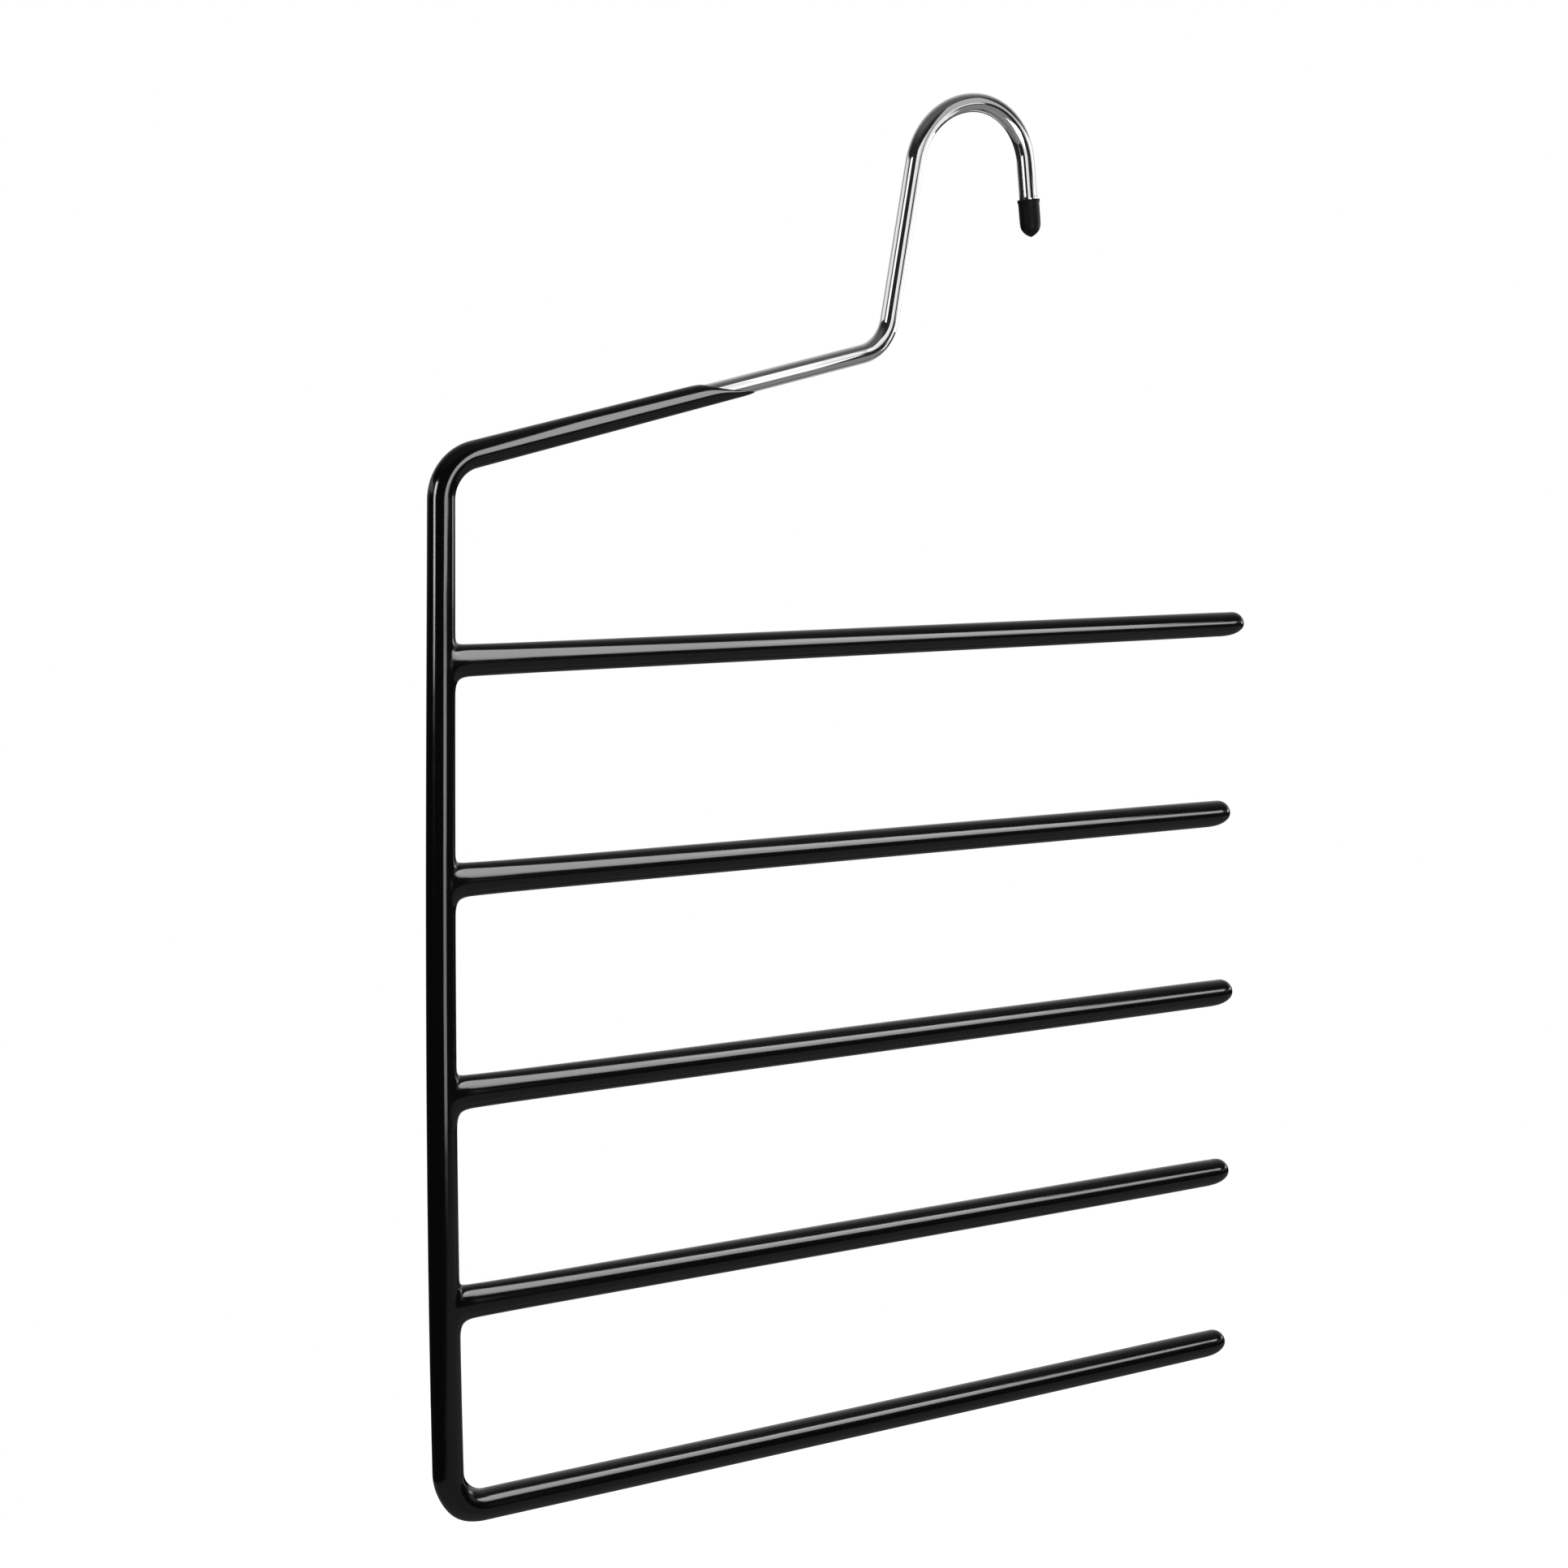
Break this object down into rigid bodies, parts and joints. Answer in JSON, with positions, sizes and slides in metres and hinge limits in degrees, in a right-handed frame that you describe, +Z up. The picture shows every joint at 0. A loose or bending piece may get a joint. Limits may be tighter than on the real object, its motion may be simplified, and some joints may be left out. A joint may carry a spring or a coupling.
{
  "type": "trouser hanger",
  "caption": "Tiered wire hanger with a plated hook, a sloping arm, a post and open-ended straight bars, dipped in a soft black coating, for hanging trousers one above another.",
  "frame": {"origin": "the point of the hook's inner crown that rests on a rail", "axes": "+X along the bars towards their open ends, +Z up, +Y square to the hanger's plane"},
  "size_m": [0.3368, 0.0104, 0.4739],
  "materials": {
    "plated_wire": "polished, mirror-bright plating",
    "bar_steel": "drawn wire, under the coating",
    "weld_metal": "as welded, under the coating",
    "soft_coating": "smooth dipped soft plastic with a wet gloss",
    "cap_plastic": "satin moulded soft plastic"
  },
  "bodies": {
    "root": {"bent_wire_frame": "plated_wire", "cross_bar_1": "bar_steel", "cross_bar_2": "bar_steel", "cross_bar_3": "bar_steel", "cross_bar_4": "bar_steel", "weld_bead_1": "weld_metal", "weld_bead_2": "weld_metal", "weld_bead_3": "weld_metal", "weld_bead_4": "weld_metal", "dipped_coating": "soft_coating", "hook_tip_cap": "cap_plastic"}
  },
  "joints": []
}
